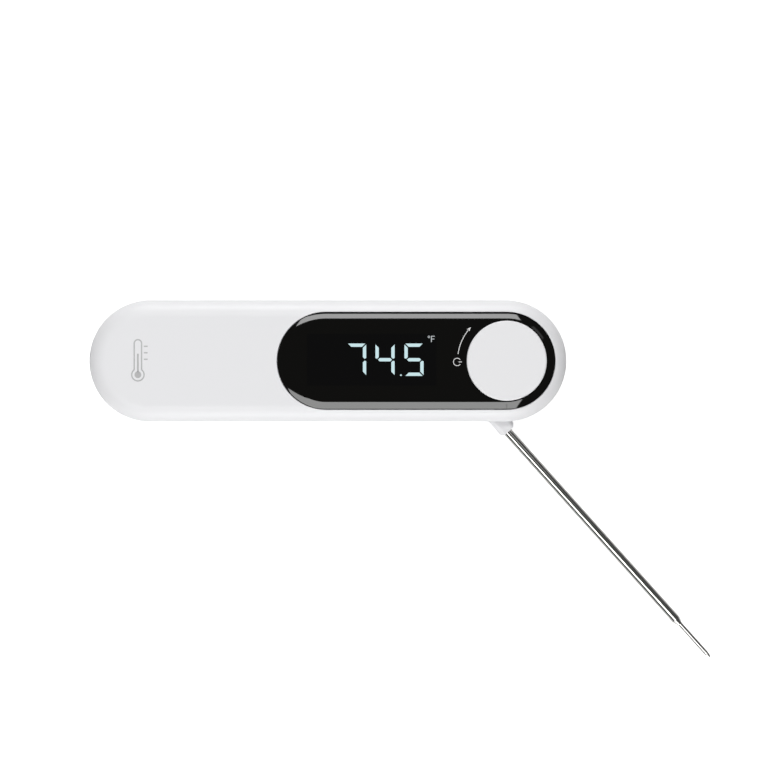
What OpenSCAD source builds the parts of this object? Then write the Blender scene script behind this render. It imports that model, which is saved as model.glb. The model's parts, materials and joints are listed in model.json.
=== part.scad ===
// Folding instant-read meat thermometer.
// Origin on the pivot axis, at the flat rear face. +X runs along the body to the hub end,
// +Y to the edge where the probe is stored, +Z out of the display.

/* [Body] */
// Length of the body
body_len = 163.4; // [162:0.2:168]
// Width of the body
body_w = 41.6; // [41:0.2:44]
// Thickness of the body
body_t = 19; // [19:0.5:21]
// Rounding of the front edge
front_round = 6.3; // [5:0.1:6.5]
// Rounding of the rear edge
rear_round = 6; // [4:0.1:6]
// Wall thickness of the shells
wall = 1.8; // [1.5:0.1:2]
// Height of the parting line between the shells
part_z = 12.4; // [12.4:0.1:12.6]

/* [Probe] */
// Diameter of the probe tube
tube_d = 3.1; // [3:0.1:3.4]
// Distance from the pivot to the axis of the probe
probe_offset = 15.6; // [15.4:0.1:15.8]
// Angle of the opened probe below the body's long axis
open_angle = 48.1; // [30:0.1:60]
// Distance along the probe to the end of the collar
collar_end = 18.7; // [17.5:0.1:20]
// Distance along the probe to the start of the stepped-down tip
shoulder_start = 105.4; // [100:0.1:106]
// Distance along the probe to the end of the taper
shoulder_end = 107.6; // [107.2:0.1:109]
// Distance along the probe to its point
probe_end = 123; // [121:0.1:123.4]
// Diameter of the stepped-down tip
tip_d = 1.5; // [1.4:0.1:2]

/* [Display] */
// Half width of the display lens
lens_r = 16.65; // [16:0.05:17]
// Place of the centre of the lens's far round end
lens_far_x = -61.5; // [-65:0.5:-58]
// Radius of the knob
knob_r = 13.6; // [12:0.1:14]
// Height of the knob's flat top above the rear face
knob_top = 19.8; // [19.4:0.1:21]

/* [Power] */
// Diameter of one battery cell
cell_d = 10.5; // [10:0.1:10.5]
// Length of one battery cell
cell_len = 44.5; // [43.5:0.1:44.5]
// Length of the battery door
door_len = 57; // [56:0.5:57]
// Width of the battery door
door_w = 26.6; // [24:0.1:27]

/* [Hidden] */
$fn = 96;

// Body outline
end_r = body_w / 2;
grip_x = body_w - body_len;
cavity_r = end_r - wall;
big = 400;

// Slot for the hub and the stored probe
slot_bottom = 6.4;
slot_top = part_z;
slot_face_y = 11.9;
slot_end_x = -126;
web = 1.2;
hub_gap = 0.3;
hub_r = end_r - hub_gap;
hub_bottom = slot_bottom + hub_gap;
hub_top = slot_top - hub_gap;
probe_z = (slot_bottom + slot_top) / 2;
stop_gap = 0.15;

// Inside of the probe, and its turned-down root in the hub
tube_wall = 0.35;
root_r = tube_d / 2 - 0.17;
tip_bore_r = 0.5;
junction_s = 116.5;
bead_r = 0.4;

// Collar outline, along the probe and away from the pivot
collar_outer = 18.2;
collar_inner = 13.25;
collar_flare = 1.2;
collar_corner = 0.8;
collar_round = 1.7;

// Front shell and lens
ceiling_z = 16;
ledge_z = part_z + web;
lens_bottom = 17.4;
lens_gap = 0.15;
well_r = knob_r + 0.35;
well_bottom = 14;
well_wall = 1.4;
window_len = 44;
window_w = 17.6;
display_x = -45.9;
display_y = 0.35;

// Knob
knob_round = 0.5;
knob_bottom = 14.3;
stem_r = 6;
fit = 0.04;
bush_wall = 1.5;
bush_len = 1.1;

// Rear bearing
boss_bottom = 4.4;
boss_r = 7.4;
spigot_r = 4;
spigot_bottom = 3.3;
lead_hole_r = 1.4;
clip_groove_r = 3.4;
clip_z = 3.45;
clip_t = 0.7;
lead_z = 2.6;
lead_x = 26.5;

// Board
board_top = 13.6;
board_t = 1;
board_x0 = -69;
board_x1 = -23;
board_y0 = -12;
board_y1 = 10.2;

// Batteries and their door
cell_z = 7.55;
cell_y = [4.25, -6.45];
cell_x0 = -117.6;
tray_x0 = -121.3;
tray_x1 = -70;
tray_y0 = -12.8;
tray_y1 = 10.5;
tray_top = 14;
tray_wall = 0.9;
lead_pad_z = 11.4;
rim_bottom = 2.6;
rim_top = 3.4;
door_x0 = -121.5;
door_x1 = door_x0 + door_len;
door_t = 1.6;
door_gap = 0.2;
door_hinge_x = door_x0 + door_t / 2;
door_screw_x = door_x1 - 2.4;
hook_y = 8;
hook_w = 5;

// Fasteners
screw_places = [[-134, 4], [-134, -9], [-60, -14.8], [-29, -14.8]];
screw_head_r = 1.7;
screw_r = 0.9;
post_r = 2.2;
hub_screw_r = 12;
knob_screw_r = 4.2;

// Unit button
button_x = -46;
button_y = -1;
button_r = 3.5;
button_travel = 0.6;

// Colours
white = "#eceded";
dark = "#161614";
steel = "#b8b9b7";
black_rubber = "#2a2b2c";
board_green = "#1f5a3a";

// ---- Shared shapes ----

// Stadium outline of the body, of a given end radius.
module stadium(r) {
    circle(r);
    translate([grip_x, 0]) circle(r);
    translate([grip_x, -r]) square([-grip_x, 2 * r]);
}

// Half of the cross-section of the body, from the middle outwards.
module half_profile(r, z0, z1, low_round, high_round) {
    difference() {
        translate([0, z0]) square([r, z1 - z0]);
        translate([r - low_round, z0]) corner_cut(low_round);
        translate([r - high_round, z1]) mirror([0, 1]) corner_cut(high_round);
    }
}

// What a round of a given radius takes off a corner of a square.
module corner_cut(radius) {
    if (radius > 0) difference() {
        translate([0, -1]) square([radius + 1, radius + 1]);
        translate([0, radius]) circle(radius);
    }
}

// Stadium-shaped solid with rounded lower and upper edges.
module pill(r, z0, z1, low_round = 0, high_round = 0) {
    rotate([0, 0, -90]) rotate_extrude(angle = 180)
        half_profile(r, z0, z1, low_round, high_round);
    translate([grip_x, 0, 0]) rotate([0, 0, 90]) rotate_extrude(angle = 180)
        half_profile(r, z0, z1, low_round, high_round);
    translate([grip_x, 0, 0]) rotate([90, 0, 90]) linear_extrude(-grip_x) {
        half_profile(r, z0, z1, low_round, high_round);
        mirror([1, 0]) half_profile(r, z0, z1, low_round, high_round);
    }
}

// A flat plate between two heights.
module plate(z0, z1) {
    translate([0, 0, z0]) linear_extrude(z1 - z0) children();
}

// A box between two corners.
module box(low, high) {
    translate(low) cube(high - low);
}

// A straight round pin along Z.
module pin(r, z0, z1) {
    translate([0, 0, z0]) cylinder(r = r, h = z1 - z0);
}

// A washer or a bush along Z.
module ring(r_in, r_out, z0, z1) {
    difference() {
        pin(r_out, z0, z1);
        pin(r_in, z0 - 1, z1 + 1);
    }
}

// An O-ring round Z.
module oring(r, cord_r, z) {
    translate([0, 0, z]) rotate_extrude() translate([r, 0]) circle(cord_r, $fn = 32);
}

// Places its children on the probe axis: X along the probe, origin at the foot
// of the perpendicular from the pivot.
module along_probe() {
    rotate([0, 0, -open_angle]) translate([0, -probe_offset, probe_z]) children();
}

// A round bar along the probe axis.
module probe_bar(r, from, to) {
    along_probe() translate([from, 0, 0]) rotate([0, 90, 0]) cylinder(r = r, h = to - from);
}

// Plan of everything that the hub and the probe sweep or rest in, grown by a margin.
module slot_plan(grow) {
    circle(end_r + grow);
    translate([0, -big / 2]) square([big / 2, big]);
    translate([slot_end_x - grow, slot_face_y - grow]) square([-slot_end_x + grow, big / 2]);
    rotate([0, 0, -open_angle]) {
        translate([0, -collar_outer - stop_gap - grow])
            square([big / 2, collar_outer + stop_gap + grow]);
    }
}

// Plan of the room inside the walls at the height of the slot, grown by a margin.
module room_plan(grow) {
    difference() {
        stadium(cavity_r + grow);
        slot_plan(web - grow);
    }
}

// ---- Housing ----

module front_shell() {
    color(white) difference() {
        union() {
            difference() {
                front_block();
                plate(part_z - 1, ledge_z) room_plan(0);
                plate(ledge_z - 0.1, ceiling_z) difference() {
                    stadium(cavity_r - 1.4);
                    circle(well_r + well_wall);
                }
            }
            for (place = screw_places) translate(place) pin(post_r, part_z, ceiling_z);
        }
        plate(lens_bottom, body_t + 1) lens_plan(0);
        window();
        pin(well_r, well_bottom, body_t + 1);
        pin(stem_r + bush_wall, part_z - 1, body_t);
        for (place = screw_places) translate(place) pin(screw_r + 0.1, part_z - 1, ceiling_z - 0.7);
    }
}

// The solid block that the front shell is cut from.
module front_block() {
    intersection() {
        pill(end_r, 0, body_t, rear_round, front_round);
        box([-big, -big, part_z], [big, big, big]);
    }
}

// Opening for the display under the lens.
module window() {
    box([display_x - window_len / 2, display_y - window_w / 2, ceiling_z - 1],
        [display_x + window_len / 2, display_y + window_w / 2, body_t]);
}

// Outline of the lens, pulled in by a margin.
module lens_plan(inset) {
    difference() {
        union() {
            circle(lens_r - inset);
            translate([lens_far_x, 0]) circle(lens_r - inset);
            translate([lens_far_x, inset - lens_r]) square([-lens_far_x, 2 * (lens_r - inset)]);
        }
        if (inset > 0) circle(well_r);
    }
}

module rear_shell() {
    color(white) difference() {
        union() {
            difference() {
                rear_block();
                difference() {
                    pill(cavity_r, wall, part_z + 1, rear_round - wall);
                    plate(slot_bottom - web, big) slot_plan(web);
                }
                box([door_x0 - door_gap, -door_w / 2 - door_gap, -1],
                    [tray_x1, door_w / 2 + door_gap, wall + 1]);
                box([door_x0, -door_w / 2 - door_gap, -1],
                    [door_x1 + door_gap, door_w / 2 + door_gap, door_t + 0.1]);
            }
            pin(boss_r, boss_bottom, slot_bottom);
            door_bar();
            for (place = screw_places) translate(place) pin(post_r + 0.6, wall - 0.1, part_z);
        }
        plate(slot_bottom, part_z + 1) slot_plan(0);
        pin(spigot_r + bush_wall, boss_bottom - 1, slot_bottom + 1);
        plate(part_z - 0.4, part_z + 1) seal_plan();
        for (place = screw_places) translate(place) {
            pin(screw_r + 0.2, -1, part_z + 1);
            pin(screw_head_r + 0.3, -1, 2.2);
        }
        translate([button_x, button_y, 0]) pin(button_r + 0.3, -1, wall + 1);
        translate([door_screw_x, 0, 0]) pin(screw_r + 0.5, -1, 8);
    }
}

// The solid block that the rear shell is cut from.
module rear_block() {
    intersection() {
        pill(end_r, 0, body_t, rear_round, front_round);
        box([-big, -big, -1], [big, big, part_z]);
    }
}

// Bar across the rear shell that takes the door's screw.
module door_bar() {
    box([tray_x1, -door_w / 2 - 1, door_t + 0.1], [door_x1 + 2, door_w / 2 + 1, 3.2]);
    translate([door_screw_x, 0, 0]) pin(2.4, door_t + 0.1, 7);
}

// Plan of the groove for the seal between the shells.
module seal_plan() {
    difference() {
        room_plan(0.8);
        room_plan(0.3);
    }
}

module shell_seal() {
    color(black_rubber) plate(part_z - 0.4, part_z) difference() {
        room_plan(0.75);
        room_plan(0.35);
    }
}

module shell_screws() {
    color(steel) for (place = screw_places) translate(place) {
        difference() {
            pin(screw_head_r, 0.6, 2.2);
            pin(0.8, 0, 1.4);
        }
        pin(screw_r, 2.2, ceiling_z - 0.8);
    }
}

module display_lens() {
    color(dark) intersection() {
        pill(end_r, 0, body_t, rear_round, front_round);
        plate(lens_bottom + 0.1, body_t + 1) lens_plan(lens_gap);
    }
}

module lens_tape() {
    color(black_rubber) plate(lens_bottom, lens_bottom + 0.1) difference() {
        lens_plan(0.6);
        square_on_display(window_len + 0.6, window_w + 0.6);
        circle(well_r + 0.6);
    }
}

// A rectangle centred on the display.
module square_on_display(length, width) {
    translate([display_x - length / 2, display_y - width / 2]) square([length, width]);
}

// ---- Display and electronics ----

module lcd_frame() {
    color("#3a3c40") plate(board_top, ceiling_z - 0.2) difference() {
        square_on_display(47, 19.4);
        square_on_display(45.4, 18.2);
    }
}

module lcd_panel() {
    color("#0c0d10") plate(ceiling_z - 1.3, ceiling_z - 0.1) square_on_display(45.2, 18);
}

module backlight_panel() {
    color("#e9f3f2") plate(board_top + 0.2, ceiling_z - 1.4) square_on_display(45.2, 14.6);
}

module zebra_strips() {
    color("#6b5d72") for (side = [-1, 1]) translate([0, side * 8.2])
        plate(board_top, ceiling_z - 1.3) square_on_display(44, 1.2);
}

module main_board() {
    color(board_green) plate(board_top - board_t, board_top)
        translate([board_x0, board_y0]) square([board_x1 - board_x0, board_y1 - board_y0]);
}

// A flat component under the board, centred on a place.
module chip(place, size) {
    translate([place[0], place[1], board_top - board_t - size[2] / 2]) cube(size, center = true);
}

module board_chips() {
    color("#222326") {
        chip([-58, 1], [7, 7, 1.4]);
        chip([-34, 4], [5, 6, 1.4]);
        chip([-34, -6], [3, 5, 1.2]);
    }
}

module board_capacitors() {
    color("#b59a72") for (step = [0 : 4])
        chip([-64 + 3 * step, -6.5], [1.2, 2, 0.9]);
}

module hall_sensor() {
    color("#303238") chip([-25, 6], [2.9, 1.6, 1.1]);
}

module unit_switch() {
    color("#8d9094") {
        chip([button_x, button_y], [4.6, 4.6, 1.2]);
        translate([button_x, button_y, 0]) pin(0.9, board_top - board_t - 1.6, board_top - board_t - 1.1);
    }
}

module sensor_lead_board() {
    color("#8a2f2b") {
        pin(0.6, lead_z - 0.6, spigot_bottom);
        translate([0, 0, lead_z]) rotate([0, -90, 0]) cylinder(r = 0.6, h = lead_x);
        translate([-lead_x, 0, 0]) pin(0.6, lead_z - 0.6, board_top - board_t);
    }
}

// ---- Pivot ----

module front_bush() {
    color("#d9d4c4") ring(stem_r + fit, stem_r + bush_wall, part_z, part_z + 0.7);
}

module front_oring() {
    color(black_rubber) oring(stem_r + 0.75, 0.43, part_z + 1.15);
}

module rear_bush() {
    color("#d9d4c4") ring(spigot_r + fit, spigot_r + bush_wall, boss_bottom, boss_bottom + bush_len);
}

module rear_oring() {
    color(black_rubber) oring(spigot_r + 0.75, 0.43, boss_bottom + bush_len + 0.45);
}

module friction_washer() {
    color(steel) ring(9, 11.5, slot_bottom, hub_bottom - 0.05);
}

// ---- Battery compartment ----

module battery_tray() {
    color("#3b3d40") difference() {
        union() {
            box([tray_x0, tray_y0, rim_top - 0.1], [tray_x1, tray_y1, tray_top]);
            box([tray_x0 + 1.3, -door_w / 2, rim_bottom], [tray_x1, door_w / 2, rim_top]);
        }
        box([tray_x0 + tray_wall, tray_y0 + tray_wall, 0],
            [tray_x1 - tray_wall, tray_y1 - tray_wall, tray_top - tray_wall]);
        box([tray_x0 - 1, -door_w, 0], [tray_x0 + 1.3, door_w, rim_top + 0.8]);
        for (side = [-1, 1])
            box([tray_x0 - 1, side * hook_y - hook_w / 2 - 0.5, 0],
                [tray_x0 + 2.6, side * hook_y + hook_w / 2 + 0.5, rim_top + 0.8]);
        for (y = cell_y) translate([tray_x1 - 2, y, lead_pad_z]) rotate([0, 90, 0]) cylinder(r = 0.6, h = 4);
    }
}

// One cell lying along X, with its raised contact towards +X or -X.
module cell(y, facing) {
    button_h = 1;
    translate([cell_x0 + cell_len / 2, y, cell_z]) rotate([0, 90 * facing, 0]) {
        difference() {
            translate([0, 0, -cell_len / 2]) cylinder(d = cell_d, h = cell_len - button_h);
            translate([0, 0, cell_len / 2 - button_h - 0.4]) ring(2.4, 4.2, 0, 1);
        }
        translate([0, 0, cell_len / 2 - button_h]) cylinder(r = 1.9, h = button_h);
    }
}

module battery_cell_1() {
    color("#3c4044") cell(cell_y[0], 1);
}

module battery_cell_2() {
    color("#3c4044") cell(cell_y[1], -1);
}

module contact_bridge() {
    color(steel) box([tray_x0 + tray_wall, cell_y[1] - 3.4, cell_z - 3.4],
                     [tray_x0 + tray_wall + 0.3, cell_y[0] + 3.4, cell_z + 3.4]);
    color(steel) dimple(tray_x0 + tray_wall + 0.3, cell_x0, cell_y[1]);
}

// Raised pad between a contact plate and the end of a cell.
module dimple(x_from, x_to, y) {
    translate([x_from, y, cell_z]) rotate([0, 90, 0]) cylinder(r = 1.6, h = x_to - x_from);
}

// Contact plate at the right-hand end, with its tab.
module right_plate(y) {
    x = tray_x1 - tray_wall - 0.3;
    box([x, y - 3.2, cell_z - 3.4], [x + 0.3, y + 3.2, lead_pad_z + 0.8]);
}

module contact_positive() {
    color(steel) {
        right_plate(cell_y[0]);
        dimple(cell_x0 + cell_len, tray_x1 - tray_wall - 0.3, cell_y[0]);
    }
}

module contact_negative() {
    color(steel) right_plate(cell_y[1]);
}

// Point on the spring's conical helix at a turn from 0 to the number of turns.
function helix_point(turn, turns, r0, r1, length) =
    let (r = r0 + (r1 - r0) * turn / turns)
    [r * cos(360 * turn), r * sin(360 * turn), length * turn / turns];

// Conical battery spring along Z.
module coil_spring(turns, r0, r1, length, wire_r) {
    steps = 14 * turns;
    sides = 6;
    points = [
        for (i = [0 : steps], k = [0 : sides - 1])
            let (at = helix_point(i / 14, turns, r0, r1, length), a = 360 * i / 14, b = 360 * k / sides)
            at + wire_r * [cos(b) * cos(a), cos(b) * sin(a), sin(b)]
    ];
    walls = [
        for (i = [0 : steps - 1], k = [0 : sides - 1])
            let (n = (k + 1) % sides)
            [i * sides + k, (i + 1) * sides + k, (i + 1) * sides + n, i * sides + n]
    ];
    polyhedron(points, concat(
        walls,
        [[for (k = [0 : sides - 1]) k]],
        [[for (k = [0 : sides - 1]) steps * sides + sides - 1 - k]]
    ));
}

module contact_springs() {
    wire_r = 0.25;
    left = tray_x0 + tray_wall + 0.3;
    right = tray_x1 - tray_wall - 0.3;
    color(steel) {
        translate([left + wire_r, cell_y[0], cell_z]) rotate([0, 90, 0])
            coil_spring(3, 3, 1.6, cell_x0 - left - 2 * wire_r, wire_r);
        translate([right - wire_r, cell_y[1], cell_z]) rotate([0, -90, 0])
            coil_spring(3, 3, 1.6, right - cell_x0 - cell_len - 2 * wire_r, wire_r);
    }
}

module battery_leads() {
    color("#8a2f2b") for (y = cell_y) {
        translate([tray_x1 - tray_wall, y, lead_pad_z]) rotate([0, 90, 0]) cylinder(r = 0.5, h = 4);
        translate([tray_x1 - tray_wall + 4, y, 0]) pin(0.5, lead_pad_z - 0.5, board_top - board_t);
    }
}

// ---- Battery door and unit button ----

module battery_door() {
    color(white) difference() {
        union() {
            box([door_hinge_x, -door_w / 2, 0], [door_x1, door_w / 2, door_t]);
            translate([door_hinge_x, -door_w / 2, door_t / 2]) rotate([-90, 0, 0])
                cylinder(d = door_t, h = door_w);
            for (side = [-1, 1]) door_hook(side * hook_y);
        }
        translate([door_screw_x, 0, 0]) {
            pin(1, -1, door_t + 1);
            pin(2, -1, 0.9);
        }
    }
}

// Hook at the door's left end, which reaches over the rear shell's floor.
module door_hook(y) {
    box([door_x0 + 0.5, y - hook_w / 2, door_t / 2], [door_x0 + 1.1, y + hook_w / 2, 2.7]);
    box([door_x0 - 1.5, y - hook_w / 2, wall + 0.15], [door_x0 + 1.1, y + hook_w / 2, 2.7]);
}

module door_gasket() {
    color(black_rubber) difference() {
        box([door_x0 + 1.9, -12.4, door_t], [tray_x1 - 1.2, 12.4, rim_bottom - 0.1]);
        box([door_x0 + 2.7, -11.6, 0], [tray_x1 - 2, 11.6, rim_bottom]);
    }
}

module door_screw() {
    color(steel) translate([door_screw_x, 0, 0]) {
        difference() {
            pin(1.9, 0.2, 0.9);
            box([-1.4, -0.25, 0], [1.4, 0.25, 0.5]);
        }
        pin(0.8, 0.9, 4.6);
    }
}

module unit_button() {
    color("#c9cbcc") translate([button_x, button_y, 0]) {
        pin(button_r, 0.3, wall + 0.2);
        pin(button_r + 1.1, wall + 0.2, wall + 1);
        pin(1.4, wall + 1, board_top - board_t - 1.6 - button_travel - 0.02);
    }
}

// ---- Folding arm ----

module knob() {
    color(white) difference() {
        union() {
            rotate_extrude() half_profile(knob_r, knob_bottom, knob_top, 0.3, knob_round);
            pin(stem_r, hub_top, knob_top - 1);
        }
        ring(stem_r + 1.4, knob_r - 1.4, knob_bottom - 1, knob_top - 1.6);
        knob_screw_places() pin(0.75, hub_top - 1, hub_top + 3.8);
    }
}

module knob_screw_places() {
    rotate([0, 0, -open_angle]) for (a = [90, 210, 330]) rotate([0, 0, a])
        translate([knob_screw_r, 0, 0]) children();
}

module hub_screw_places() {
    rotate([0, 0, -open_angle]) for (a = [20, 100, 180]) rotate([0, 0, a])
        translate([hub_screw_r, 0, 0]) children();
}

// Plan of the collar, along X with the pivot at the origin.
module collar_plan() {
    polygon([
        [0, -collar_outer], [collar_end - collar_corner, -collar_outer],
        [collar_end, collar_corner - collar_outer], [collar_end, -collar_inner],
        [collar_end - collar_flare, collar_flare - collar_inner],
        [0, collar_flare - collar_inner]
    ]);
}

// What the rounding of the collar's long edges takes away, across Y and up.
module collar_rounding() {
    width = collar_outer + collar_flare - collar_inner;
    half = (hub_top - hub_bottom) / 2;
    for (turn = [0, 1], flip = [0, 1])
        translate([-collar_outer + width / 2, 0]) mirror([turn, 0]) mirror([0, flip])
            translate([width / 2 - collar_round, -half]) corner_cut(collar_round);
}

// The hub's disc with its collar, between two heights.
module hub_blank(z0, z1) {
    rotate([0, 0, -open_angle]) difference() {
        plate(z0, z1) {
            circle(hub_r);
            collar_plan();
        }
        difference() {
            translate([0, 0, probe_z]) rotate([90, 0, 90]) linear_extrude(collar_end + 1) collar_rounding();
            pin(hub_r, 0, body_t);
        }
    }
}

// Everything that is hollow inside the hub.
module hub_hollows() {
    probe_bar(root_r + 0.02, 0.8, collar_end + 1);
    probe_bar(2.25, 7.9, 11.1);
    along_probe() box([-0.75, -0.75, -0.75], [1, probe_offset + 0.75, 0.75]);
    hub_screw_places() {
        pin(screw_head_r + 0.1, 0, 7.9);
        pin(0.85, 7, 11.4);
    }
    knob_screw_places() {
        pin(1.6, probe_z - 0.2, probe_z + 1.1);
        pin(0.8, probe_z, hub_top + 1);
    }
    magnet_place() pin(1.52, hub_top - 1.2, hub_top + 1);
}

// The lead's run from the tube's inner end to the pivot axis and down it.
module lead_run(r, bottom) {
    along_probe() {
        sphere(r, $fn = 24);
        rotate([0, 90, 0]) cylinder(r = r, h = 1);
        rotate([-90, 0, 0]) cylinder(r = r, h = probe_offset);
        translate([0, probe_offset, 0]) sphere(r, $fn = 24);
    }
    pin(r, bottom, probe_z);
}

module magnet_place() {
    rotate([0, 0, -61.6]) translate([18.3, 0, 0]) children();
}

module hub_upper() {
    color(white) difference() {
        hub_blank(probe_z, hub_top);
        hub_hollows();
    }
}

module hub_lower() {
    color(white) difference() {
        union() {
            hub_blank(hub_bottom, probe_z);
            pin(spigot_r, spigot_bottom, hub_bottom + 1);
        }
        hub_hollows();
        pin(lead_hole_r, spigot_bottom - 1, probe_z + 1);
        ring(clip_groove_r, spigot_r + 1, clip_z, clip_z + clip_t + 0.1);
    }
}

module knob_screws() {
    color(steel) knob_screw_places() {
        pin(1.5, probe_z + 0.1, probe_z + 1.1);
        pin(0.7, probe_z + 1.1, hub_top + 3.6);
    }
}

module hub_screws() {
    color(steel) hub_screw_places() {
        pin(screw_head_r, hub_bottom + 0.1, 7.9);
        pin(0.8, 7.9, 11.2);
    }
}

module retaining_clip() {
    color(steel) difference() {
        ring(clip_groove_r + 0.02, 5.8, clip_z + 0.05, clip_z + clip_t + 0.05);
        box([0, -1.6, 0], [10, 1.6, 10]);
    }
}

module probe_tube() {
    color(steel) difference() {
        union() {
            probe_bar(root_r, 1, collar_end + 0.2);
            probe_bar(tube_d / 2, collar_end + 0.1, shoulder_start);
        }
        probe_bar(tube_d / 2 - tube_wall, 0, shoulder_start + 1);
    }
}

module probe_tip() {
    plug_r = tube_d / 2 - tube_wall - 0.05;
    color(steel) along_probe() rotate([0, 90, 0]) rotate_extrude() polygon([
        [tip_bore_r, shoulder_start - 6], [plug_r, shoulder_start - 6],
        [plug_r, shoulder_start], [tube_d / 2, shoulder_start], [tip_d / 2, shoulder_end],
        [tip_d / 2, probe_end - 3.4], [0.12, probe_end], [0, probe_end],
        [0, junction_s + 0.6], [tip_bore_r, junction_s + 0.6]
    ]);
}

module probe_ferrule() {
    color(steel) difference() {
        probe_bar(2.2, 8, 11);
        probe_bar(root_r + 0.01, 7, 12);
    }
}

module thermocouple_wires() {
    color("#b0703c") for (side = [-1, 1]) translate([0, 0, side * 0.22])
        probe_bar(0.18, 1, junction_s - bead_r);
}

module thermocouple_junction() {
    color("#a8a49a") along_probe() translate([junction_s, 0, 0]) sphere(bead_r, $fn = 32);
}

module hub_magnet() {
    color("#7d8084") magnet_place() pin(1.5, hub_top - 1.2, hub_top - 0.1);
}

module sensor_lead_hub() {
    color("#8a2f2b") lead_run(0.6, spigot_bottom);
}

// ---- Node switch ----

front_shell();
rear_shell();
shell_seal();
shell_screws();
display_lens();
lens_tape();
lcd_frame();
lcd_panel();
backlight_panel();
zebra_strips();
main_board();
board_chips();
board_capacitors();
hall_sensor();
unit_switch();
front_bush();
front_oring();
rear_bush();
rear_oring();
friction_washer();
battery_tray();
battery_cell_1();
battery_cell_2();
contact_bridge();
contact_positive();
contact_negative();
contact_springs();
battery_leads();
sensor_lead_board();
battery_door();
door_gasket();
door_screw();
unit_button();
knob();
hub_upper();
hub_lower();
knob_screws();
hub_screws();
retaining_clip();
probe_tube();
probe_tip();
probe_ferrule();
thermocouple_wires();
thermocouple_junction();
hub_magnet();
sensor_lead_hub();
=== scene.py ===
"""Looks of the folding instant-read thermometer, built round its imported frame."""

import json
import math

import bmesh
import bpy
from mathutils import Matrix, Vector


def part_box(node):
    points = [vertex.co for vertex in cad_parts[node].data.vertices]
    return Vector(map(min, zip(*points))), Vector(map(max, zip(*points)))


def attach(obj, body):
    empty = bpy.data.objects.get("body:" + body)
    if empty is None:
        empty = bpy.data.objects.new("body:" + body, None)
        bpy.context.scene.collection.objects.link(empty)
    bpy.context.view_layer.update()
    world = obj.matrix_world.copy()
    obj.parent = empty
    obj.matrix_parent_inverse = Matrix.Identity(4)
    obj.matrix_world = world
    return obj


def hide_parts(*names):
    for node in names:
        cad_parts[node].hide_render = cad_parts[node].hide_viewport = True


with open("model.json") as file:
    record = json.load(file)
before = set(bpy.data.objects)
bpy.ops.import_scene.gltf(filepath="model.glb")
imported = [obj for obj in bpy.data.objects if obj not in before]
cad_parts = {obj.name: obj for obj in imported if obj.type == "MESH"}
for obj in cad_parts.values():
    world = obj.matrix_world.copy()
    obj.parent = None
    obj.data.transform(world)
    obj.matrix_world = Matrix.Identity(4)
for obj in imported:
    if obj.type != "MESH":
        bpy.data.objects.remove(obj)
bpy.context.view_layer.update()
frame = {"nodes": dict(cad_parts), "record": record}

MM = 0.001

# ---- Sizes taken from the frame, in metres ----

FRONT_LOW, FRONT_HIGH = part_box("front_shell")
LENS_LOW, LENS_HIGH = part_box("display_lens")
KNOB_LOW, KNOB_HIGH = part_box("knob")
PANEL_LOW, PANEL_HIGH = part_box("lcd_panel")

END_R = FRONT_HIGH[1]
GRIP_X = FRONT_LOW[0] + END_R
TOP_Z = FRONT_HIGH[2]
PART_Z = FRONT_LOW[2]
LENS_R = LENS_HIGH[1]
LENS_FAR_X = LENS_LOW[0] + LENS_R
LENS_BOTTOM = LENS_LOW[2]
KNOB_R = KNOB_HIGH[0]
WELL_GAP = 0.35 * MM
WELL_R = KNOB_R + WELL_GAP

MOUNTS = {m["name"]: m for m in frame["record"]["mounts"]}
STEM = MOUNTS["probe_stem"]
PROBE_DIR = Vector(STEM["axis"]).normalized()
PROBE_MID = Vector(STEM["pos_m"])
PROBE_FOOT = PROBE_MID - PROBE_DIR * PROBE_MID.dot(PROBE_DIR)
STEM_R = STEM["dims"]["r_mm"] * MM


# ---- Mesh helpers ----

SHARP = math.radians(32)
WELD = 1e-7
CAD_WELD = 1e-6
CAD_FLAT = math.radians(0.4)


def mark_sharp(bm, angle):
    """Smooth shading everywhere except across edges sharper than the angle."""
    for face in bm.faces:
        face.smooth = True
    for edge in bm.edges:
        edge.smooth = len(edge.link_faces) == 2 and edge.calc_face_angle(0) < angle


def smooth_fans(vert):
    """The faces round a corner, grouped where only smooth edges lie between them."""
    left = set(vert.link_faces)
    fans = []
    while left:
        fan = [left.pop()]
        for face in fan:
            for edge in face.edges:
                if vert in edge.verts and edge.smooth:
                    for other in edge.link_faces:
                        if other in left:
                            left.remove(other)
                            fan.append(other)
        fans.append(fan)
    return fans


def settle_normals(mesh, bm):
    """Corner normals weighted by face area, so flats stay flat beside their rounds."""
    normals = {}
    for vert in bm.verts:
        for fan in smooth_fans(vert):
            total = Vector((0, 0, 0))
            for face in fan:
                total += face.normal * face.calc_area()
            for face in fan:
                normals[face.index, vert.index] = total.normalized() if total.length else face.normal
    rows = []
    for poly in mesh.polygons:
        for loop in poly.loop_indices:
            rows.append(normals[poly.index, mesh.loops[loop].vertex_index])
    mesh.normals_split_custom_set(rows)


def piece(name, bm, material, body, replaces=(), outward=True, crease=SHARP):
    """Makes an object of a finished bmesh and ties it to the frame."""
    bmesh.ops.remove_doubles(bm, verts=bm.verts, dist=WELD)
    if outward:
        bmesh.ops.recalc_face_normals(bm, faces=bm.faces)
    mark_sharp(bm, crease)
    bm.normal_update()
    bm.verts.index_update()
    bm.faces.index_update()
    mesh = bpy.data.meshes.new(name)
    bm.to_mesh(mesh)
    settle_normals(mesh, bm)
    bm.free()
    obj = bpy.data.objects.new(name, mesh)
    bpy.context.scene.collection.objects.link(obj)
    mesh.materials.append(material)
    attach(obj, body)
    if replaces:
        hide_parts(*replaces)
    return obj


def chain(bm, points):
    """A row of vertices joined by edges."""
    verts = [bm.verts.new(p) for p in points]
    edges = [bm.edges.new(pair) for pair in zip(verts, verts[1:])]
    return verts, edges


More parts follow.
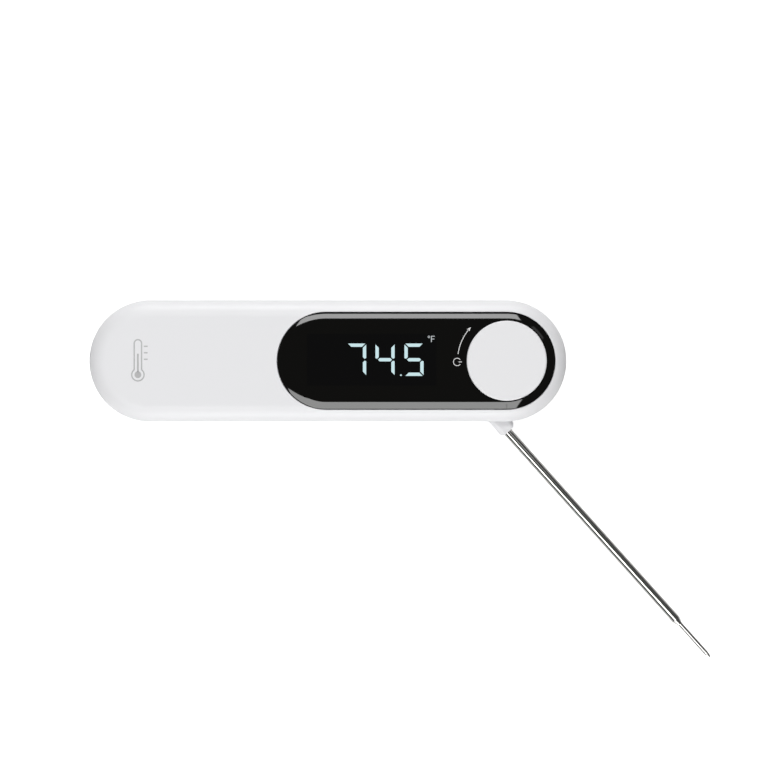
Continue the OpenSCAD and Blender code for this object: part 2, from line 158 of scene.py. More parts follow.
def new_verts(geom):
    return [v for v in geom if isinstance(v, bmesh.types.BMVert)]


def new_edges(geom):
    return [e for e in geom if isinstance(e, bmesh.types.BMEdge)]


def open_edges(edges):
    """The edges that only one face uses."""
    return [e for e in edges if len(e.link_faces) == 1]


def lathe(points, segments=96):
    """A turned shape round Z from (radius, height) points."""
    bm = bmesh.new()
    verts, edges = chain(bm, [(r, 0, z) for r, z in points])
    bmesh.ops.spin(bm, geom=verts + edges, cent=(0, 0, 0), axis=(0, 0, 1),
                   angle=2 * math.pi, steps=segments, use_merge=True)
    bmesh.ops.remove_doubles(bm, verts=bm.verts, dist=WELD)
    return bm


def arc(centre, radius, start, end, steps):
    """Points along an arc, with angles in degrees."""
    out = []
    for i in range(steps + 1):
        a = math.radians(start + (end - start) * i / steps)
        out.append((centre[0] + radius * math.cos(a), centre[1] + radius * math.sin(a)))
    return out


def from_cad(node):
    """A merged copy of a CAD node's mesh, with its flat faces made whole."""
    bm = bmesh.new()
    bm.from_mesh(frame["nodes"][node].data)
    bmesh.ops.remove_doubles(bm, verts=bm.verts, dist=CAD_WELD)
    bmesh.ops.dissolve_limit(bm, angle_limit=CAD_FLAT, use_dissolve_boundaries=False,
                             verts=bm.verts, edges=bm.edges)
    return bm


def soften(bm, offset, chosen, segments=2, angle=math.radians(40)):
    """Rounds the sharp edges that a test on their two ends picks."""
    edges = [
        e for e in bm.edges
        if len(e.link_faces) == 2 and e.calc_face_angle(0) > angle
        and chosen(e.verts[0].co) and chosen(e.verts[1].co)
    ]
    bmesh.ops.bevel(bm, geom=edges, offset=offset, segments=segments, profile=0.5,
                    affect="EDGES", material=-1, clamp_overlap=True)


# ---- Shared shader groups ----

def new_group(name, inputs, outputs):
    """An empty shader group with its sockets, and its two end nodes."""
    group = bpy.data.node_groups.new(name, "ShaderNodeTree")
    for label, kind, value in inputs:
        socket = group.interface.new_socket(label, in_out="INPUT", socket_type="NodeSocket" + kind)
        if value is not None:
            socket.default_value = value
    for label, kind in outputs:
        group.interface.new_socket(label, in_out="OUTPUT", socket_type="NodeSocket" + kind)
    return group, group.nodes.new("NodeGroupInput"), group.nodes.new("NodeGroupOutput")


def noise(group, vector, scale_socket, detail):
    """A noise texture on a group's vector."""
    node = group.nodes.new("ShaderNodeTexNoise")
    node.inputs["Detail"].default_value = detail
    group.links.new(vector, node.inputs["Vector"])
    group.links.new(scale_socket, node.inputs["Scale"])
    return node.outputs["Fac"]


def ranged(group, value, low, high):
    """Maps 0..1 onto a range whose ends may be sockets."""
    node = group.nodes.new("ShaderNodeMapRange")
    group.links.new(value, node.inputs["Value"])
    for label, end in (("To Min", low), ("To Max", high)):
        if hasattr(end, "default_value"):
            group.links.new(end, node.inputs[label])
        else:
            node.inputs[label].default_value = end
    return node.outputs["Result"]


def mixed(group, factor, a, b):
    """A colour between two colour sockets."""
    node = group.nodes.new("ShaderNodeMix")
    node.data_type = "RGBA"
    group.links.new(factor, node.inputs["Factor"])
    group.links.new(a, node.inputs["A"])
    group.links.new(b, node.inputs["B"])
    return node.outputs["Result"]


def combined(group, operation, a, b):
    """Two values put together by a math node."""
    node = group.nodes.new("ShaderNodeMath")
    node.operation = operation
    for socket, value in zip(node.inputs, (a, b)):
        if hasattr(value, "default_value"):
            group.links.new(value, socket)
        else:
            socket.default_value = value
    return node.outputs["Value"]


SURFACE_INPUTS = [
    ("Place", "Vector", None),
    ("Colour", "Color", (0.5, 0.5, 0.5, 1)), ("Tint", "Color", (0.5, 0.5, 0.5, 1)),
    ("Grain Scale", "Float", 6.0), ("Patch Scale", "Float", 0.05),
    ("Smooth", "Float", 0.3), ("Rough", "Float", 0.4),
]
SURFACE_OUTPUTS = [("Colour", "Color"), ("Roughness", "Float"), ("Height", "Float")]
LINE_STRETCH = (0.03, 1.0, 1.0)
DUST_LOW, DUST_HIGH = -3.2, 1.4


def close_group(group, given, out, tint, rough, height):
    """Ties a group's outputs to the values that set its tint, its roughness and its relief."""
    colour = mixed(group, tint, given.outputs["Colour"], given.outputs["Tint"])
    roughness = ranged(group, rough, given.outputs["Smooth"], given.outputs["Rough"])
    for label, value in (("Colour", colour), ("Roughness", roughness), ("Height", height)):
        group.links.new(value, out.inputs[label])
    return group


def build_moulded_surface():
    """Fine spark-eroded grain with broad, faint patches of handling."""
    group, given, out = new_group("moulded_surface", SURFACE_INPUTS, SURFACE_OUTPUTS)
    grain = noise(group, given.outputs["Place"], given.outputs["Grain Scale"], 3)
    patch = noise(group, given.outputs["Place"], given.outputs["Patch Scale"], 2)
    speck = combined(group, "MULTIPLY", grain, patch)
    return close_group(group, given, out, patch, combined(group, "ADD", patch, speck), grain)


def build_drawn_metal():
    """Long faint lines along X, as on drawn tube and turned wire."""
    group, given, out = new_group("drawn_metal", SURFACE_INPUTS, SURFACE_OUTPUTS)
    stretch = group.nodes.new("ShaderNodeVectorMath")
    stretch.operation = "MULTIPLY"
    stretch.inputs[1].default_value = LINE_STRETCH
    group.links.new(given.outputs["Place"], stretch.inputs[0])
    lines = noise(group, stretch.outputs["Vector"], given.outputs["Grain Scale"], 4)
    patch = noise(group, given.outputs["Place"], given.outputs["Patch Scale"], 2)
    return close_group(group, given, out, lines, patch, lines)


def build_marked_gloss():
    """A gloss face with faint wiping arcs and a little dust."""
    group, given, out = new_group("marked_gloss", SURFACE_INPUTS, SURFACE_OUTPUTS)
    dust = noise(group, given.outputs["Place"], given.outputs["Grain Scale"], 5)
    wipe = noise(group, given.outputs["Place"], given.outputs["Patch Scale"], 3)
    clipped = combined(group, "MAXIMUM", ranged(group, dust, DUST_LOW, DUST_HIGH), 0.0)
    return close_group(group, given, out, clipped, wipe, wipe)


MOULDED = build_moulded_surface()
DRAWN = build_drawn_metal()
MARKED = build_marked_gloss()
MM_PER_METRE = 1000
BUMP_STRENGTH = 0.6


def finish_of(name, group, colour, tint, smooth, rough, grain, patch, bump, turn=(0, 0, 0),
              **constants):
    """A material made of one surface group under a Principled shader."""
    material = bpy.data.materials.new(name)
    material.use_nodes = True
    tree = material.node_tree
    shader = tree.nodes["Principled BSDF"]
    place = tree.nodes.new("ShaderNodeTexCoord")
    mapping = tree.nodes.new("ShaderNodeMapping")
    mapping.inputs["Scale"].default_value = (MM_PER_METRE,) * 3
    mapping.inputs["Rotation"].default_value = turn
    surface = tree.nodes.new("ShaderNodeGroup")
    surface.node_tree = group
    for label, value in (("Colour", (*colour, 1)), ("Tint", (*tint, 1)), ("Grain Scale", grain),
                         ("Patch Scale", patch), ("Smooth", smooth), ("Rough", rough)):
        surface.inputs[label].default_value = value
    relief = tree.nodes.new("ShaderNodeBump")
    relief.inputs["Strength"].default_value = BUMP_STRENGTH
    relief.inputs["Distance"].default_value = bump * MM
    for label, value in constants.items():
        shader.inputs[label.replace("_", " ")].default_value = value
    tree.links.new(place.outputs["Object"], mapping.inputs["Vector"])
    tree.links.new(mapping.outputs["Vector"], surface.inputs["Place"])
    tree.links.new(surface.outputs["Colour"], shader.inputs["Base Color"])
    tree.links.new(surface.outputs["Roughness"], shader.inputs["Roughness"])
    tree.links.new(surface.outputs["Height"], relief.inputs["Height"])
    tree.links.new(relief.outputs["Normal"], shader.inputs["Normal"])
    return material


# ---- Finishes ----

PROBE_TURN = (0, 0, -math.atan2(PROBE_DIR.y, PROBE_DIR.x))

shell_white = finish_of("shell_white", MOULDED, (0.80, 0.80, 0.815), (0.785, 0.787, 0.80), 0.34, 0.46,
                        grain=5.0, patch=0.04, bump=0.0025, IOR=1.5)
knob_white = finish_of("knob_white", MOULDED, (0.81, 0.81, 0.82), (0.795, 0.795, 0.81), 0.36, 0.48,
                       grain=5.5, patch=0.06, bump=0.002, IOR=1.5)
button_grey = finish_of("button_grey", MOULDED, (0.50, 0.51, 0.52), (0.46, 0.47, 0.48), 0.4, 0.55,
                        grain=4.0, patch=0.1, bump=0.003)
lens_black = finish_of("lens_black", MARKED, (0.0014, 0.0013, 0.0009), (0.003, 0.003, 0.0026), 0.03, 0.06,
                       grain=9.0, patch=0.08, bump=0.0002, IOR=1.5)
pane_black = finish_of("pane_black", MARKED, (0.0004, 0.0004, 0.0005), (0.001, 0.001, 0.0012), 0.03, 0.06,
                       grain=9.0, patch=0.1, bump=0.0002, IOR=1.5)
print_white = finish_of("print_white", MOULDED, (0.80, 0.80, 0.80), (0.74, 0.74, 0.74), 0.3, 0.4,
                        grain=8.0, patch=0.4, bump=0.001)
print_grey = finish_of("print_grey", MOULDED, (0.44, 0.44, 0.445), (0.48, 0.48, 0.485), 0.35, 0.5,
                       grain=8.0, patch=0.3, bump=0.001)
rubber_black = finish_of("rubber_black", MOULDED, (0.02, 0.02, 0.021), (0.032, 0.032, 0.033), 0.6, 0.8,
                         grain=3.0, patch=0.2, bump=0.006)
dark_plastic = finish_of("dark_plastic", MOULDED, (0.042, 0.044, 0.047), (0.055, 0.057, 0.06), 0.4, 0.6,
                         grain=4.0, patch=0.1, bump=0.004)
bush_cream = finish_of("bush_cream", MOULDED, (0.66, 0.62, 0.50), (0.60, 0.56, 0.45), 0.3, 0.42,
                       grain=3.0, patch=0.3, bump=0.002)
board_green = finish_of("board_green", MOULDED, (0.015, 0.10, 0.045), (0.02, 0.13, 0.06), 0.25, 0.4,
                        grain=2.0, patch=0.2, bump=0.003, Coat_Weight=0.4)
ceramic_tan = finish_of("ceramic_tan", MOULDED, (0.42, 0.31, 0.17), (0.36, 0.26, 0.14), 0.4, 0.55,
                        grain=5.0, patch=0.5, bump=0.002)
guide_clear = finish_of("guide_clear", MOULDED, (0.70, 0.80, 0.81), (0.62, 0.72, 0.74), 0.15, 0.25,
                        grain=2.0, patch=0.2, bump=0.001)
zebra_purple = finish_of("zebra_purple", MOULDED, (0.12, 0.085, 0.13), (0.16, 0.12, 0.17), 0.6, 0.75,
                         grain=6.0, patch=0.4, bump=0.004)
sleeve_dark = finish_of("sleeve_dark", MARKED, (0.035, 0.04, 0.045), (0.10, 0.10, 0.10), 0.18, 0.3,
                        grain=5.0, patch=0.1, bump=0.0008, Coat_Weight=0.6)
lead_red = finish_of("lead_red", MOULDED, (0.28, 0.025, 0.02), (0.34, 0.04, 0.03), 0.35, 0.5,
                     grain=4.0, patch=0.3, bump=0.002)
stem_steel = finish_of("stem_steel", DRAWN, (0.60, 0.595, 0.58), (0.52, 0.515, 0.50), 0.10, 0.20,
                       grain=7.0, patch=0.12, bump=0.0012, turn=PROBE_TURN, Metallic=1.0)
spring_steel = finish_of("spring_steel", DRAWN, (0.52, 0.52, 0.51), (0.44, 0.44, 0.43), 0.22, 0.38,
                         grain=5.0, patch=0.3, bump=0.002, Metallic=1.0)
nickel = finish_of("nickel", DRAWN, (0.64, 0.62, 0.57), (0.56, 0.54, 0.50), 0.14, 0.28,
                   grain=5.0, patch=0.3, bump=0.001, Metallic=1.0)
bronze_wire = finish_of("bronze_wire", DRAWN, (0.52, 0.28, 0.13), (0.44, 0.22, 0.10), 0.25, 0.4,
                        grain=5.0, patch=0.3, bump=0.001, Metallic=1.0)

digit_glow = finish_of("digit_glow", MARKED, (0.08, 0.10, 0.105), (0.10, 0.12, 0.125), 0.06, 0.1,
                       grain=6.0, patch=0.2, bump=0.0002, Emission_Color=(0.66, 0.89, 0.93, 1),
                       Emission_Strength=0.78)
unit_glow = finish_of("unit_glow", MARKED, (0.08, 0.085, 0.088), (0.10, 0.105, 0.108), 0.06, 0.1,
                      grain=6.0, patch=0.2, bump=0.0002, Emission_Color=(0.70, 0.74, 0.76, 1),
                      Emission_Strength=0.6)

FINISH_OF_SLOT = {
    "white_plastic": shell_white, "knob_plastic": knob_white, "button_plastic": button_grey,
    "black_rubber": rubber_black, "lens_black": lens_black, "display_glass": pane_black,
    "light_guide": guide_clear, "dark_plastic": dark_plastic, "zebra_rubber": zebra_purple,
    "board_green": board_green, "ceramic": ceramic_tan, "bush_plastic": bush_cream,
    "spring_steel": spring_steel, "nickel_plate": nickel, "cell_sleeve": sleeve_dark,
    "lead_red": lead_red, "probe_steel": stem_steel, "wire_bronze": bronze_wire,
}

for part in frame["record"]["subparts"]:
    for material_slot in frame["nodes"][part["node"]].material_slots:
        material_slot.material = FINISH_OF_SLOT[part["material_slot"]]


# ---- Housing ----

def spine_gap(co, far_x):
    """Distance from a point to the line between the pivot and a far end, seen from above."""
    x = min(max(co.x, far_x), 0)
    return math.hypot(co.x - x, co.y)


NEAR = 0.03 * MM
OPENING_R = LENS_R + 0.15 * MM
OPENING_FOOT = LENS_BOTTOM + 0.6 * MM
REAR_LIP_Z = 5.9 * MM
OPENING_EDGE = 0.2 * MM
PARTING_EDGE = 0.12 * MM
REAR_EDGE = 0.15 * MM


def on_opening(co):
    return abs(spine_gap(co, LENS_FAR_X) - OPENING_R) < NEAR and co.z > OPENING_FOOT


def on_parting(co):
    return abs(co.z - PART_Z) < NEAR and spine_gap(co, GRIP_X) > END_R - NEAR


def build_front_cover():
    bm = from_cad("front_shell")
    soften(bm, OPENING_EDGE, on_opening)
    soften(bm, PARTING_EDGE, on_parting)
    piece("front_cover", bm, shell_white, "housing", ["front_shell"], outward=False)


def on_rear_edge(co):
    outside = spine_gap(co, GRIP_X) > END_R - NEAR and co.z > REAR_LIP_Z
    return outside or abs(co.z) < NEAR


def build_rear_cover():
    bm = from_cad("rear_shell")
    soften(bm, REAR_EDGE, on_rear_edge)
    piece("rear_cover", bm, shell_white, "housing", ["rear_shell"], outward=False)


def build_door():
    bm = from_cad("battery_door")
    soften(bm, REAR_EDGE, lambda co: abs(co.z) < NEAR)
    piece("door_panel", bm, shell_white, "door", ["battery_door"], outward=False)


# ---- Lens ----

LENS_RINGS = 10
LENS_CREASE = math.radians(8)
LENS_EDGE = 0.06 * MM
LENS_MARGIN = 0.5 * MM
HALF_TURN_STEPS = 72
HOLE_SEGMENTS = 96
LENS_FLAT_R = WELL_R + 0.08 * MM
BAND_START, BAND_END = math.radians(11), math.radians(19)
BAND_CURVE = (LENS_R - LENS_FLAT_R) / (math.sin(BAND_END) - math.sin(BAND_START))


def lens_z(d):
    """Height of the lens: flat in the middle, then a band that falls away from a crease."""
    slope = math.asin(math.sin(BAND_START) + max(d - LENS_FLAT_R, 0) / BAND_CURVE)
    return TOP_Z - BAND_CURVE * (math.cos(BAND_START) - math.cos(slope))


def stadium_band(bm, profile):
    """Carries a cross-section from the lens's lower side round both ends and back."""
    verts, edges = chain(bm, profile)
    for centre_x, run in ((0, LENS_FAR_X), (LENS_FAR_X, -LENS_FAR_X)):
        turned = bmesh.ops.spin(bm, geom=verts + edges, cent=(centre_x, 0, 0), axis=(0, 0, 1),
                                angle=math.pi, steps=HALF_TURN_STEPS)["geom_last"]
        out = bmesh.ops.extrude_edge_only(bm, edges=new_edges(turned))["geom"]
        verts, edges = new_verts(out), new_edges(out)
        bmesh.ops.translate(bm, vec=(run, 0, 0), verts=verts)
    bmesh.ops.remove_doubles(bm, verts=bm.verts, dist=WELD)


def build_lens():
    rings = [LENS_FLAT_R + (LENS_R - LENS_FLAT_R) * i / LENS_RINGS for i in range(LENS_RINGS + 1)]
    bm = bmesh.new()
    stadium_band(bm, [(0, -d, lens_z(d)) for d in rings])
    hole = bmesh.ops.create_circle(bm, segments=HOLE_SEGMENTS, radius=WELL_R,
                                   matrix=Matrix.Translation((0, 0, TOP_Z)))
    flat_edges = {e for v in hole["verts"] for e in v.link_edges}
    flat_edges |= {e for e in open_edges(bm.edges) if all(v.co.z > TOP_Z - NEAR / 10 for v in e.verts)}
    bmesh.ops.triangle_fill(bm, use_beauty=True, edges=list(flat_edges))
    bmesh.ops.recalc_face_normals(bm, faces=bm.faces)
    if sum(f.normal.z for f in bm.faces) < 0:
        bmesh.ops.reverse_faces(bm, faces=bm.faces)
    wall = bmesh.ops.extrude_edge_only(bm, edges=open_edges(bm.edges))["geom"]
    for vert in new_verts(wall):
        vert.co.z = LENS_BOTTOM
    bmesh.ops.triangle_fill(bm, use_beauty=True, edges=open_edges(new_edges(wall)))
    bmesh.ops.recalc_face_normals(bm, faces=bm.faces)
    soften(bm, LENS_EDGE,
           lambda co: co.z > LENS_BOTTOM + LENS_MARGIN and co.xy.length > WELL_R + LENS_MARGIN)
    piece("lens_glass", bm, lens_black, "housing", ["display_lens"], crease=LENS_CREASE)


# ---- Knob, hub and probe ----

def build_knob():
    low, high = KNOB_LOW[2], KNOB_HIGH[2]
    skirt = 14.3 * MM
    edge, crown, foot_edge = 0.5 * MM, 1.2 * MM, 0.2 * MM
    inner_r, ceiling = KNOB_R - 1.4 * MM, high - 1.6 * MM
    boss_r, plug_r = 7.4 * MM, 6 * MM
    profile = [(0, high), (KNOB_R - crown, high)]
    profile += arc((KNOB_R - edge, high - edge), edge, 90, 0, 6)
    profile += [(KNOB_R, skirt + foot_edge), (KNOB_R - foot_edge, skirt), (inner_r, skirt),
                (inner_r, ceiling), (boss_r, ceiling), (boss_r, skirt),
                (plug_r, skirt), (plug_r, low), (0, low)]
    piece("knob_cap", lathe(profile, 128), knob_white, "arm", ["knob"])


def along(co):
    """Distance along the probe's axis from its foot beside the pivot."""
    return (Vector(co) - PROBE_FOOT).dot(PROBE_DIR)


def beside(co):
    """Distance from the probe's axis, seen from above."""
    return math.hypot(*(co - PROBE_FOOT - PROBE_DIR * along(co)).xy)


COLLAR_START = 15 * MM
COLLAR_CLEAR = 0.6 * MM
COLLAR_BORE = 1.6 * MM
COLLAR_EDGE = 0.55 * MM
HUB_EDGE = 0.12 * MM


def build_hub(node, name):
    bm = from_cad(node)
    hub_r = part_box("hub_upper")[1][0]

    def on_collar(co):
        past_hub = along(co) > COLLAR_START and math.hypot(co.x, co.y) > hub_r + COLLAR_CLEAR
        return past_hub and abs(co.z - PROBE_MID.z) > NEAR and beside(co) > COLLAR_BORE

    soften(bm, COLLAR_EDGE, on_collar, segments=3, angle=math.radians(25))
    soften(bm, HUB_EDGE, lambda co: math.hypot(co.x, co.y) > hub_r - NEAR)
    piece(name, bm, shell_white, "arm", [node], outward=False)


def turned_on_probe(points):
    """A lathe shape whose Z runs along the probe."""
    bm = lathe(points, 72)
    turn = PROBE_DIR.to_track_quat("Z", "Y").to_matrix().to_4x4()
    bmesh.ops.transform(bm, matrix=Matrix.Translation(PROBE_FOOT) @ turn, verts=bm.verts)
    return bm


TUBE_START = 1 * MM
TUBE_ROOT_R = STEM_R - 0.17 * MM
TUBE_BORE_R = STEM_R - 0.35 * MM
SHANK_R = 0.75 * MM
SHOULDER_LENGTH = 2.2 * MM
POINT_START, POINT_END = 119.6 * MM, 123 * MM
TIP_BORE_R, TIP_BORE_END = 0.5 * MM, 117.1 * MM
PLUG_R = TUBE_BORE_R - 0.05 * MM
PLUG_LENGTH = 6 * MM


def build_probe():
    mount_half = STEM["dims"]["length_mm"] * MM / 2
    mid = along(PROBE_MID)
    start, end = mid - mount_half, mid + mount_half
    tube = [(TUBE_BORE_R, TUBE_START), (TUBE_ROOT_R, TUBE_START), (TUBE_ROOT_R, start), (STEM_R, start),
            (STEM_R, end), (TUBE_BORE_R, end), (TUBE_BORE_R, TUBE_START)]
    piece("probe_stem", turned_on_probe(tube), stem_steel, "arm", ["probe_tube"])

    shank_start = end + SHOULDER_LENGTH
    shoulder = [(STEM_R + (SHANK_R - STEM_R) * t, end + (shank_start - end) * t) for t in (0.25, 0.5, 0.75)]
    needle = []
    for degrees in range(0, 90, 10):
        a = math.radians(degrees)
        needle.append((SHANK_R * math.cos(a) ** 0.8, POINT_START + (POINT_END - POINT_START) * math.sin(a)))
    tip = [(0, TIP_BORE_END), (TIP_BORE_R, TIP_BORE_END), (TIP_BORE_R, end - PLUG_LENGTH),
           (PLUG_R, end - PLUG_LENGTH), (PLUG_R, end), (STEM_R, end), *shoulder,
           (SHANK_R, shank_start), *needle, (0, POINT_END)]
    piece("probe_point", turned_on_probe(tip), stem_steel, "arm", ["probe_tip"])


# ---- Display and printed marks ----

MARK_TOP = TOP_Z + 0.02 * MM
PANE_TOP = TOP_Z + 0.008 * MM
MARK_DEPTH = 0.06 * MM


def flat_mark(name, bm, material, top=MARK_TOP):
    """Gives a flat drawing a little thickness at the lens's surface."""
    for vert in bm.verts:
        vert.co.z = top - MARK_DEPTH
    out = bmesh.ops.extrude_face_region(bm, geom=bm.faces[:])["geom"]
    bmesh.ops.translate(bm, vec=(0, 0, MARK_DEPTH), verts=new_verts(out))
    return piece(name, bm, material, "housing")


def polygon(bm, points):
    """A flat face from points in millimetres."""
    bm.faces.new([bm.verts.new((x * MM, y * MM, 0)) for x, y in points])


def oblong(bm, x0, y0, x1, y1):
    polygon(bm, [(x0, y0), (x1, y0), (x1, y1), (x0, y1)])


def disc(bm, x, y, radius, segments):
    bmesh.ops.create_circle(bm, cap_ends=True, segments=segments, radius=radius * MM,
                            matrix=Matrix.Translation((x * MM, y * MM, 0)))


def curved_stroke(bm, centre, radius, width, start, end, steps=24):
    """A stroke along an arc, in millimetres and degrees."""
    a = math.radians(start)
    ray = Vector((math.cos(a), math.sin(a), 0))
    middle = Vector((centre[0], centre[1], 0)) * MM
    verts, edges = chain(bm, [middle + ray * (radius + side * width / 2) * MM for side in (-1, 1)])
    bmesh.ops.spin(bm, geom=verts + edges, cent=middle, axis=(0, 0, 1),
                   angle=math.radians(end - start), steps=steps)


DIGIT_W, DIGIT_H, BAR, BAR_GAP = 6.5, 11.0, 1.12, 0.32
LEVEL_BAR = [(BAR_GAP, 0), (DIGIT_W - BAR_GAP, 0), (DIGIT_W - BAR_GAP - BAR, -BAR),
             (BAR_GAP + BAR, -BAR)]
MIDDLE_BAR = [(BAR / 2 + BAR_GAP, 0), (BAR + BAR_GAP, BAR / 2), (DIGIT_W - BAR - BAR_GAP, BAR / 2),
              (DIGIT_W - BAR / 2 - BAR_GAP, 0), (DIGIT_W - BAR - BAR_GAP, -BAR / 2),
              (BAR + BAR_GAP, -BAR / 2)]
UPRIGHT_BAR = [(0, DIGIT_H / 2 - BAR_GAP), (0, BAR / 2), (-BAR / 2, BAR_GAP), (-BAR, BAR / 2 + BAR_GAP),
               (-BAR, DIGIT_H / 2 - BAR - BAR_GAP)]
BARS = {
    "top": (LEVEL_BAR, (0, DIGIT_H), 1, 1), "bottom": (LEVEL_BAR, (0, 0), 1, -1),
    "middle": (MIDDLE_BAR, (0, DIGIT_H / 2), 1, 1),
    "upper_right": (UPRIGHT_BAR, (DIGIT_W, DIGIT_H / 2), 1, 1),
    "lower_right": (UPRIGHT_BAR, (DIGIT_W, DIGIT_H / 2), 1, -1),
    "upper_left": (UPRIGHT_BAR, (0, DIGIT_H / 2), -1, 1),
}
SEVEN = ["top", "upper_right", "lower_right"]
FOUR = ["upper_left", "middle", "upper_right", "lower_right"]
FIVE = ["top", "upper_left", "middle", "lower_right", "bottom"]
DIGIT_Y = -5.15
READING = ((-54.25, SEVEN), (-44.6, FOUR), (-34.75, FIVE))
DOT_X, DOT_RISE, DOT_R = -35.95, 0.25, 0.3


def build_digits():
    bm = bmesh.new()
    for left, bars in READING:
        for bar in bars:
            points, (x, y), flip_x, flip_y = BARS[bar]
            polygon(bm, [(left + x + flip_x * px, DIGIT_Y + y + flip_y * py) for px, py in points])
    disc(bm, DOT_X, DIGIT_Y + DOT_RISE, DOT_R, 24)
    flat_mark("display_digits", bm, digit_glow)


def build_unit_mark():
    bm = bmesh.new()
    curved_stroke(bm, (-26.45, 8.1), 0.3, 0.2, 0, 360)
    oblong(bm, -25.75, 6.35, -25.45, 8.45)
    oblong(bm, -25.45, 8.2, -24.45, 8.45)
    oblong(bm, -25.45, 7.25, -24.6, 7.5)
    flat_mark("unit_mark", bm, unit_glow)


def build_display_pane():
    bm = bmesh.new()
    margin_x, margin_y = 0.6, 0.2
    oblong(bm, PANEL_LOW[0] / MM + margin_x, PANEL_LOW[1] / MM + margin_y,
           PANEL_HIGH[0] / MM - margin_x, PANEL_HIGH[1] / MM - margin_y)
    flat_mark("display_pane", bm, pane_black, top=PANE_TOP)


def build_power_mark():
    bm = bmesh.new()
    x, y = -16.85, -0.4
    curved_stroke(bm, (x, y), 1.27, 0.22, 35, 325)
    oblong(bm, x + 0.5, y - 0.12, x + 1.6, y + 0.12)
    flat_mark("power_mark", bm, print_white)


def build_turn_arrow():
    bm = bmesh.new()
    radius, line, tail_at, head_at = 16.7, 0.24, 172, 140.5
    head_length, head_back, head_half = 1.0, 0.3, 0.55
    curved_stroke(bm, (0, 0), radius, line, tail_at, head_at)
    a = math.radians(head_at)
    centre = Vector((math.cos(a), math.sin(a))) * radius
    forward = Vector((math.sin(a), -math.cos(a)))
    outward = centre.normalized()
    polygon(bm, [tuple(centre + forward * head_length),
                 tuple(centre - outward * head_half - forward * head_back),
                 tuple(centre + outward * head_half - forward * head_back)])
    flat_mark("turn_arrow", bm, print_white)


def build_grip_mark():
    """A plain thermometer sign: an outlined stem and bulb with three scale ticks."""
    bm = bmesh.new()
    x, bulb_y, top_y = -125.3, -4.75, 5.9
    bulb_r, tube_r, line = 2.1, 1.25, 0.45
    fill_r, fill_half, fill_top = 1.15, 0.3, 2.4
    tick_start, tick_end, tick_line, tick_step = 2.0, 3.3, 0.4, 2.2
    open_half = math.degrees(math.asin(tube_r / bulb_r))
    curved_stroke(bm, (x, bulb_y), bulb_r, line, 90 + open_half, 450 - open_half, 40)
    curved_stroke(bm, (x, top_y), tube_r, line, 0, 180)
    neck_y = bulb_y + math.sqrt(bulb_r ** 2 - tube_r ** 2)
    for side in (-1, 1):
        edge = x + side * tube_r
        oblong(bm, edge - line / 2, neck_y, edge + line / 2, top_y)
    disc(bm, x, bulb_y, fill_r, 32)
    oblong(bm, x - fill_half, bulb_y + 0.9, x + fill_half, fill_top)
    for step in range(3):
        y = 0.3 + tick_step * step
        oblong(bm, x + tick_start, y, x + tick_end, y + tick_line)
    flat_mark("grip_mark", bm, print_grey)


build_front_cover()
build_rear_cover()
build_door()
build_lens()
build_knob()
build_hub("hub_upper", "hub_top_half")
build_hub("hub_lower", "hub_bottom_half")
build_probe()
build_display_pane()
build_digits()
build_unit_mark()
build_power_mark()
build_turn_arrow()
build_grip_mark()


# ---- Floor, light and camera ----

FLOOR_HALF = 3
FLOOR_DROP = 0.2 * MM
FLOOR_GLOW = 0.6


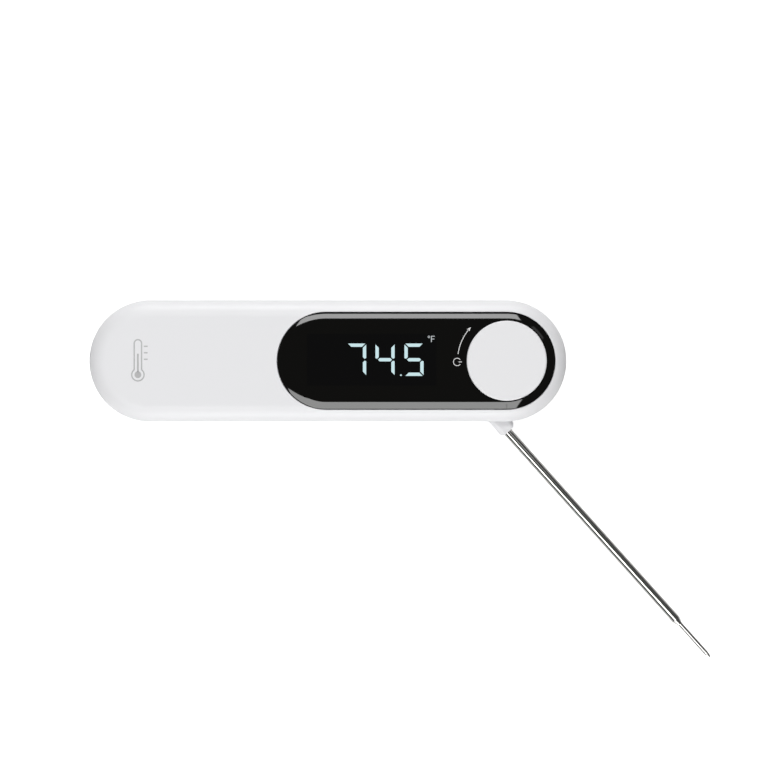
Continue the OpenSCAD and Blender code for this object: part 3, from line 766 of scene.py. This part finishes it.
def build_stage():
    """A pale matt floor, with a glow that only the camera sees."""
    bm = bmesh.new()
    bmesh.ops.create_grid(bm, x_segments=2, y_segments=2, size=FLOOR_HALF)
    mesh = bpy.data.meshes.new("floor")
    bm.to_mesh(mesh)
    bm.free()
    floor = bpy.data.objects.new("floor", mesh)
    bpy.context.scene.collection.objects.link(floor)
    floor.location.z = -FLOOR_DROP
    pale = bpy.data.materials.new("pale_floor")
    pale.use_nodes = True
    nodes, links = pale.node_tree.nodes, pale.node_tree.links
    shader = nodes["Principled BSDF"]
    shader.inputs["Base Color"].default_value = (0.8, 0.8, 0.8, 1)
    shader.inputs["Roughness"].default_value = 0.9
    shader.inputs["Specular IOR Level"].default_value = 0.1
    glow = nodes.new("ShaderNodeEmission")
    glow.inputs["Strength"].default_value = FLOOR_GLOW
    seen = nodes.new("ShaderNodeLightPath")
    both, choice = nodes.new("ShaderNodeAddShader"), nodes.new("ShaderNodeMixShader")
    links.new(shader.outputs[0], both.inputs[0])
    links.new(glow.outputs[0], both.inputs[1])
    links.new(seen.outputs["Is Camera Ray"], choice.inputs[0])
    links.new(shader.outputs[0], choice.inputs[1])
    links.new(both.outputs[0], choice.inputs[2])
    links.new(choice.outputs[0], nodes["Material Output"].inputs["Surface"])
    mesh.materials.append(pale)


AIM = (-0.04, 0, 0)
SOFTBOXES = [
    ("softbox_upper", (-0.14, 0.615, 1), (0.74, 0.24), 8.3, (-0.14, 0.615, 0)),
    ("softbox_lower", (-0.22, -0.583, 1), (0.90, 0.367), 6.6, (-0.22, -0.583, 0)),
    ("fill_right", (0.33, 0.27, 1), (0.18, 0.3), 0.7, AIM),
    ("bank_upper", (-0.06, 1.2, 0.42), (0.8, 0.5), 7.2, AIM),
    ("bank_lower", (-0.06, -1.2, 0.42), (0.8, 0.5), 6.2, AIM),
]
SKY_STRENGTH = 0.1


def softbox(name, place, size, radiance, target):
    """A rectangular light facing a target, from its place, its size and how bright its face is."""
    light = bpy.data.lights.new(name, "AREA")
    light.shape = "RECTANGLE"
    light.size, light.size_y = size
    light.energy = radiance * math.pi * size[0] * size[1]
    lamp = bpy.data.objects.new(name, light)
    lamp.location = place
    lamp.rotation_euler = (Vector(target) - Vector(place)).to_track_quat("-Z", "Y").to_euler()
    bpy.context.scene.collection.objects.link(lamp)


def build_light():
    for row in SOFTBOXES:
        softbox(*row)
    world = bpy.data.worlds.new("studio")
    bpy.context.scene.world = world
    world.use_nodes = True
    sky = world.node_tree.nodes["Background"]
    sky.inputs["Color"].default_value = (1, 1, 1, 1)
    sky.inputs["Strength"].default_value = SKY_STRENGTH


VIEW_WIDTH = 264.3 * MM
VIEW_X, VIEW_Y, VIEW_Z = -41.7 * MM, -7.9 * MM, 9.5 * MM


def build_camera():
    """Looks straight down from where the view is as wide as it has to be."""
    camera = bpy.data.cameras.new("camera")
    camera.lens = 100
    camera.sensor_width = 36
    eye = bpy.data.objects.new("camera", camera)
    eye.location = (VIEW_X, VIEW_Y, VIEW_Z + VIEW_WIDTH * camera.lens / camera.sensor_width)
    bpy.context.scene.collection.objects.link(eye)
    bpy.context.scene.camera = eye


bpy.context.scene.view_settings.view_transform = "Standard"
build_stage()
build_light()
build_camera()
